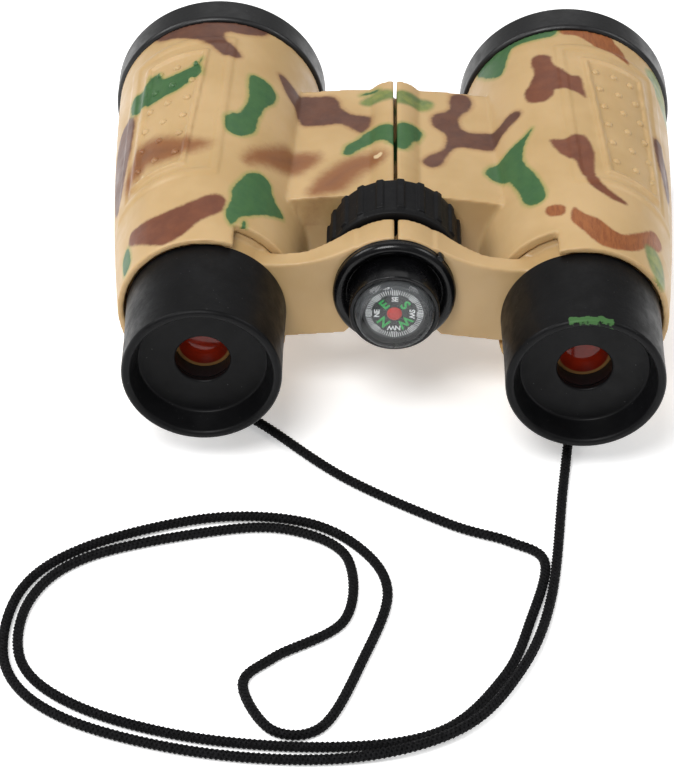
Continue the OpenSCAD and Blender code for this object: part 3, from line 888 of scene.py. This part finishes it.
def lens_face(reach, ball_r, steps):
    """Radii from the middle to the edge of a lens, with how far its face has fallen away at each."""
    radii = [reach * i / steps for i in range(steps + 1)]
    return [(r, ball_r - math.sqrt(ball_r**2 - r**2)) for r in radii]


def make_objective(side, ring_material, glass):
    """The ring at the front of a barrel, and its lens."""
    axis, body = axis_of(side), side + "_half"
    replaced = (side + "_objective_ring",)
    ring = lathe(side + "_front_ring", axis, rounded(RING, 0.35), ring_material, body, replaced, 192)
    rear, front = 92.55, 96.4
    face = [(r, front - fall) for r, fall in lens_face(17, 60, 16)]
    profile = [(0, rear), (16.9, rear)] + face[::-1]
    lens = lathe(side + "_front_lens", axis, profile, glass, body, (side + "_objective_lens",))


def make_eyepiece(side, cup_material, glass):
    """The eyecup and the lens inside it."""
    axis, body = axis_of(side), side + "_eyepiece"
    cup = lathe(side + "_eye_cup", axis, rounded(CUP, 0.4), cup_material, body, (side + "_eyecup",), 192)
    rear, front = 9.8, 13.5
    face = [(r, rear + fall) for r, fall in lens_face(8, 22, 14)]
    profile = face + [(8, front), (0, front)]
    lens = lathe(side + "_tinted_lens", axis, profile, glass, body, (side + "_eye_lens",))


# ---------------------------------------------------------------- hinge and wheel

WHEEL_R, RIB_HEIGHT, RIBS, FIRST_RIB = 13.2, 0.45, 20, 4
# Half the width of a rib's flat top, and the width over which each of its sides falls. The first in mm at
# the rim, the second in degrees.
RIB_HALF, RIB_FALL = 0.75, 1.5
ROOT_R = WHEEL_R - RIB_HEIGHT
WHEEL_REAR, WHEEL_WALL = 28.9, 2.2
# The web at the front of the wheel has a hole for the pin, and the boss behind it has a bore.
WEB_HOLE_R, BORE_R, BOSS_R = 2.2, 1.6, 4.45
BOSS_REAR, BOSS_FRONT = 24.3, 39


def wheel_radius(angle):
    """Radius of the ribbed stretch at an angle in degrees."""
    pitch = 360 / RIBS
    off = abs((angle - FIRST_RIB + pitch / 2) % pitch - pitch / 2)
    half = math.degrees(RIB_HALF / WHEEL_R)
    share = min(max((half + RIB_FALL / 2 - off) / RIB_FALL, 0), 1)
    return ROOT_R + RIB_HEIGHT * share * share * (3 - 2 * share)


def wheel_rows():
    """Rows round the rim from rear to front: place along Y, radius, and share of the ribs' height."""
    rear = RIM_Y + WHEEL_REAR
    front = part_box("focus_wheel")[1].y / MM
    inner = ROOT_R - WHEEL_WALL
    rear_edge = [
        (rear + 0.5, inner, 0), (rear, inner + 0.3, 0), (rear, ROOT_R - 0.35, 0),
        (rear + 0.12, ROOT_R - 0.1, 0), (rear + 0.35, ROOT_R + 0.02, 0),
        (rear + 1.55, ROOT_R + 0.02, 0), (rear + 1.6, ROOT_R, 0.2),
        (rear + 1.65, ROOT_R, 0.85), (rear + 1.85, ROOT_R, 1),
    ]  # fmt: skip
    ribbed = [(rear + 2.1 + (front - rear - 2.7) * k / 6, ROOT_R, 1) for k in range(1, 7)]
    front_edge = [
        (front - 0.35, ROOT_R - 0.05, 0.95), (front - 0.1, ROOT_R - 0.25, 0.7), (front, ROOT_R - 0.5, 0.2),
        (front, WEB_HOLE_R, 0), (front - WHEEL_WALL, WEB_HOLE_R, 0), (front - WHEEL_WALL, inner, 0),
    ]  # fmt: skip
    return rear_edge + ribbed + front_edge


def make_wheel(material):
    """The ribbed rim with its web, which is open at the rear, and the boss."""
    around = RIBS * 24
    rows = wheel_rows()
    vertices, faces = [], []
    for y, radius, ribbed in rows:
        for j in range(around):
            degrees = 360 * j / around
            r = radius + ribbed * (wheel_radius(degrees) - ROOT_R)
            angle = math.radians(degrees)
            vertices.append((r * math.sin(angle), y, HINGE_Z + r * math.cos(angle)))
    for i in range(len(rows)):
        following = (i + 1) % len(rows)
        for j in range(around):
            k = (j + 1) % around
            here, there = i * around, following * around
            faces.append((here + j, there + j, there + k, here + k))
    boss_profile = [
        (BORE_R, BOSS_REAR), (BOSS_R, BOSS_REAR), (BOSS_R, BOSS_FRONT), (BORE_R, BOSS_FRONT),
    ]  # fmt: skip
    vertices, faces = join_data((vertices, faces), lathe_data(HINGE, boss_profile, 64))
    wheel = make_object("ribbed_wheel", vertices, faces, material, "focus_wheel", ("focus_wheel",))
    clean(wheel)


def make_cap(material):
    """The low cap on the front end of the hinge pin."""
    profile = rounded([(0, 79.95), (4.6, 79.95), (4.6, 80.9), (3.4, 81.9), (0, 82.1)], 0.3)
    cap = lathe("hinge_cap", HINGE, profile, material, "left_half", ("pin_cap",))


# ---------------------------------------------------------------- compass

FLANGE_R, POT_R, CAPSULE_R, WINDOW_R = 11.8, 8.6, 7.6, 6.4
WINDOW_Y, CARD_FACE = 11.8, 13.7
# The flange's rolled rim is an arc of this radius, about a point at a radius and a station.
ROLL_R, ROLL_CENTRE = 1.3, (10.5, 20.3)
LUG_ANGLE = 45
LETTERS = ("SE", "S", "SW", "W", "NW", "N", "NE", "E")
# A letter's height, how far out its middle is, and how much its strokes are thickened.
LETTER, PAIR_OF_LETTERS = (1.95, 2.75, 0.08), (1.05, 3.3, 0.03)
# Font size of a capital that is one unit high.
CAPITAL = 1.4
SCALE_TICKS = 72


def index_lug():
    """Points and faces of the small lug on the flange, with its corners cut."""
    out, side = radial(math.radians(LUG_ANGLE))
    centre = Vector((0, RIM_Y, HINGE_Z))
    vertices = []
    for y, shrink in ((19.75, 0.2), (20.0, 0), (21.2, 0), (21.45, 0.2)):
        shoulder = FLANGE_R + 0.5 - shrink
        tip = FLANGE_R + 0.68 - shrink
        half = 0.7 - shrink
        outline = [(10.8, -0.7), (shoulder, -half), (tip, -0.4), (tip, 0.4), (shoulder, half), (10.8, 0.7)]
        vertices += [tuple(centre + out * r + side * w + Vector((0, y, 0))) for r, w in outline]
    corners = len(outline)
    faces = [tuple(range(corners)), tuple(range(len(vertices) - corners, len(vertices)))]
    for start in range(0, len(vertices) - corners, corners):
        for k in range(corners):
            after = (k + 1) % corners
            faces.append((start + k, start + after, start + corners + after, start + corners + k))
    return vertices, faces


def make_housing(material):
    """The flange with its rolled rim, the pot that holds the capsule, and the index lug."""
    rim = []
    for k in range(12, -1, -1):
        angle = math.pi + math.pi * k / 12
        rim.append((ROLL_CENTRE[0] + ROLL_R * math.cos(angle), ROLL_CENTRE[1] + ROLL_R * math.sin(angle)))
    bore_r = CAPSULE_R + 0.05
    pot = [
        (8.9, 20.2), (POT_R, 19.6), (POT_R, 13.6), (bore_r, 13.6),
        (bore_r, 20), (0, 20), (0, 21.55), (FLANGE_R, 21.55),
    ]  # fmt: skip
    body = lathe_data(HINGE, rim + rounded(pot, 0.35), 160)
    vertices, faces = join_data(body, index_lug())
    housing = make_object("compass_pot", vertices, faces, material, "left_eyepiece", ("compass_housing",))
    clean(housing)


def make_capsule(material):
    """The clear cup over the card, with its window towards the eyecups."""
    wall_r, front = 6.7, 18.9
    window, shoulder = WINDOW_Y + 0.8, WINDOW_Y + 1.5
    profile = [
        (0, WINDOW_Y), (WINDOW_R, WINDOW_Y), (7.1, WINDOW_Y + 0.4), (CAPSULE_R, shoulder),
        (CAPSULE_R, front), (wall_r, front), (wall_r, shoulder), (WINDOW_R - 0.1, window), (0, window),
    ]  # fmt: skip
    replaced = ("compass_capsule",)
    capsule = lathe("clear_capsule", HINGE, rounded(profile, 0.3), material, "left_eyepiece", replaced, 160)


def radial_bar(angle, r0, r1, width, y0, y1):
    """A thin bar on the card, pointing out from its centre."""
    out, side = radial(angle)
    side = side * width / 2
    centre = Vector((0, RIM_Y, HINGE_Z))
    vertices = []
    for y in (y0, y1):
        for r, s in ((r0, -1), (r1, -1), (r1, 1), (r0, 1)):
            vertices.append(tuple(centre + out * r + side * s + Vector((0, y, 0))))
    faces = [(0, 1, 2, 3), (4, 7, 6, 5), (0, 4, 5, 1), (1, 5, 6, 2), (2, 6, 7, 3), (3, 7, 4, 0)]
    return vertices, faces


def make_letter(text, angle, material):
    """A printed letter standing on the card with its top outwards."""
    height, radius, thicker = PAIR_OF_LETTERS if len(text) == 2 else LETTER
    data = bpy.data.curves.new("letter", "FONT")
    data.body = text
    data.size = height * CAPITAL * MM
    data.space_character = 0.9
    data.align_x = "CENTER"
    data.align_y = "CENTER"
    data.extrude = 0.02 * MM
    data.offset = thicker * MM
    data.resolution_u = 3
    source = bpy.data.objects.new("letter", data)
    bpy.context.scene.collection.objects.link(source)
    bpy.context.view_layer.update()
    mesh = bpy.data.meshes.new_from_object(source)
    bpy.data.objects.remove(source)
    out, across = radial(angle)
    centre = Vector((0, RIM_Y + CARD_FACE - 0.05, HINGE_Z)) * MM + out * radius * MM
    for vertex in mesh.vertices:
        x, y, z = vertex.co
        vertex.co = centre + across * x + out * y + Vector((0, -z, 0))
    obj = bpy.data.objects.new("card_letter_" + text, mesh)
    bpy.context.scene.collection.objects.link(obj)
    mesh.materials.clear()
    mesh.materials.append(material)
    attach(obj, "compass_card")


def scale_ticks():
    """Points and faces of the card's scale: even ticks, with four longer ones at each letter."""
    y = CARD_FACE
    per_letter = SCALE_TICKS // len(LETTERS)
    ticks = []
    for k in range(SCALE_TICKS):
        if k % per_letter in (0, 1, per_letter - 1):
            continue
        ticks.append(radial_bar(2 * math.pi * k / SCALE_TICKS, 4.45, 5.45, 0.12, y - 0.05, y + 0.05))
    for k in range(len(LETTERS)):
        for step in (-6, -2, 2, 6):
            angle = 2 * math.pi * k / len(LETTERS) + math.radians(step)
            ticks.append(radial_bar(angle, 4.25, 5.5, 0.15, y - 0.06, y + 0.05))
    return join_data(*ticks)


def make_card(dark, white, green, red):
    """The printed disc, its red button, and the scale and letters on it."""
    y = CARD_FACE
    profile = [(0, y + 0.3), (1.3, y + 0.3), (1.3, y), (5.95, y), (5.95, y + 0.5), (0, y + 0.5)]
    disc = lathe("card_disc", HINGE, profile, dark, "compass_card", ("compass_card",))
    steps = [math.pi / 2 * k / 8 for k in range(9)]
    button_profile = [(1.45 * math.sin(a), y - 0.75 * math.cos(a)) for a in steps]
    button_profile += [(1.3, y + 0.2), (0, y + 0.2)]
    button = lathe("card_button", HINGE, button_profile, red, "compass_card", (), 64)
    vertices, faces = scale_ticks()
    scale = make_object("card_scale", vertices, faces, white, "compass_card", (), smooth=False)
    for k, text in enumerate(LETTERS):
        make_letter(text, 2 * math.pi * k / len(LETTERS), white if len(text) == 2 else green)


# ---------------------------------------------------------------- setting


def make_floor():
    """A pale floor that lifts its own shadows a little."""
    shader = Shader("floor")
    drift = shader.span(shader.noise(8, 2), *MIDDLE)
    shader.set(Base_Color=shader.mix(drift, colour("fbfbfb"), colour("f8f8f8")))
    shader.set(Roughness=0.9, Specular_IOR_Level=0.1)
    shader.set(Emission_Color=(1, 1, 1, 1), Emission_Strength=0.38)
    size = 4000
    corners = [(-size, -size, 0), (size, -size, 0), (size, size, 0), (-size, size, 0)]
    floor = make_object("floor", corners, [(0, 1, 2, 3)], shader.material, None)


# Power in watts, width and place in metres.
LIGHTS = {
    "key": (5.1, 0.4, (-0.2, -0.45, 0.75)),
    "left": (2.4, 0.4, (-0.6, 0.1, 0.55)),
    "right": (1.8, 0.4, (0.6, 0.0, 0.6)),
    "back": (0.5, 0.6, (0, 0.6, 0.55)),
}
LIGHT_AIM = Vector((0, 0, 0.02))


def area_light(name, power, size, place):
    """A round soft light aimed at the middle of the binoculars."""
    data = bpy.data.lights.new(name, "AREA")
    data.energy = power
    data.shape = "DISK"
    data.size = size
    light = bpy.data.objects.new(name, data)
    light.location = place
    light.rotation_mode = "QUATERNION"
    light.rotation_quaternion = (LIGHT_AIM - Vector(place)).to_track_quat("-Z", "Y")
    bpy.context.scene.collection.objects.link(light)


def make_lights():
    """Four area lights in a dim white surround."""
    bpy.context.scene.view_settings.view_transform = "Standard"
    world = bpy.data.worlds.new("studio")
    bpy.context.scene.world = world
    world.use_nodes = True
    sky = world.node_tree.nodes["Background"]
    sky.inputs["Color"].default_value = (1, 1, 1, 1)
    sky.inputs["Strength"].default_value = 0.3
    for name, (power, size, place) in LIGHTS.items():
        area_light(name, power, size, place)


# ---------------------------------------------------------------- assembly

make_camera()
braid = cord_material()
cord, cord_line, cord_length = make_cord(braid)
knots = [make_knot(side, braid) for side in SIDES]

camouflage = camouflage_material()
tan = tan_material()
dab_place = (BARREL_X + 0.2, RIM_Y + 0.7)
black = black_material("black plastic", "101011", 0.38, 0.42)
satin = black_material("eyecup plastic", "0a0a0b", 0.42, 0.14)
dabbed = black_material("eyecup plastic with a paint dab", "0a0a0b", 0.42, 0.14, dab=dab_place)
matte = black_material("wheel plastic", "111112", 0.5, 0.14)
gloss = black_material("compass plastic", "050506", 0.2, 0.28, dust=0.2, skin=0.01)
steel = metal_material("bright steel", "c9cacc", 0.25)
objective_glass = lens_material("objective coating", "a83a18", "3a1408", 16.4)
eye_glass = lens_material("eye lens", "7e1e0c", "a07848", 5.1)
eyecup_materials = {"left": satin, "right": dabbed}

for side in SIDES:
    make_barrel(side, camouflage)
    make_arm(side, tan)
    make_objective(side, black, objective_glass)
    make_eyepiece(side, eyecup_materials[side], eye_glass)
    for part in ("_lens_retainer", "_light_baffle", "_lens_holder"):
        dress(side + part, black)
make_wheel(matte)
make_cap(black)
make_housing(gloss)
make_capsule(clear_material())
make_card(
    print_material("card ground", "2a2c2d", "222425"),
    print_material("white print", "e8eaea", "d0d2d2"),
    print_material("green print", "35b558", "2a9c4a"),
    print_material("red button", "c8352c", "a82a22"),
)
dress("compass_base", print_material("capsule base", "3c3e40", "303234"))
dress("compass_pivot", metal_material("brass", "c9a24e", 0.3))
for node in ("hinge_pin", "pin_clip", "compass_magnet"):
    dress(node, steel)
for node in ("wheel_spacer", "focus_nut"):
    dress(node, black)
make_floor()
make_lights()
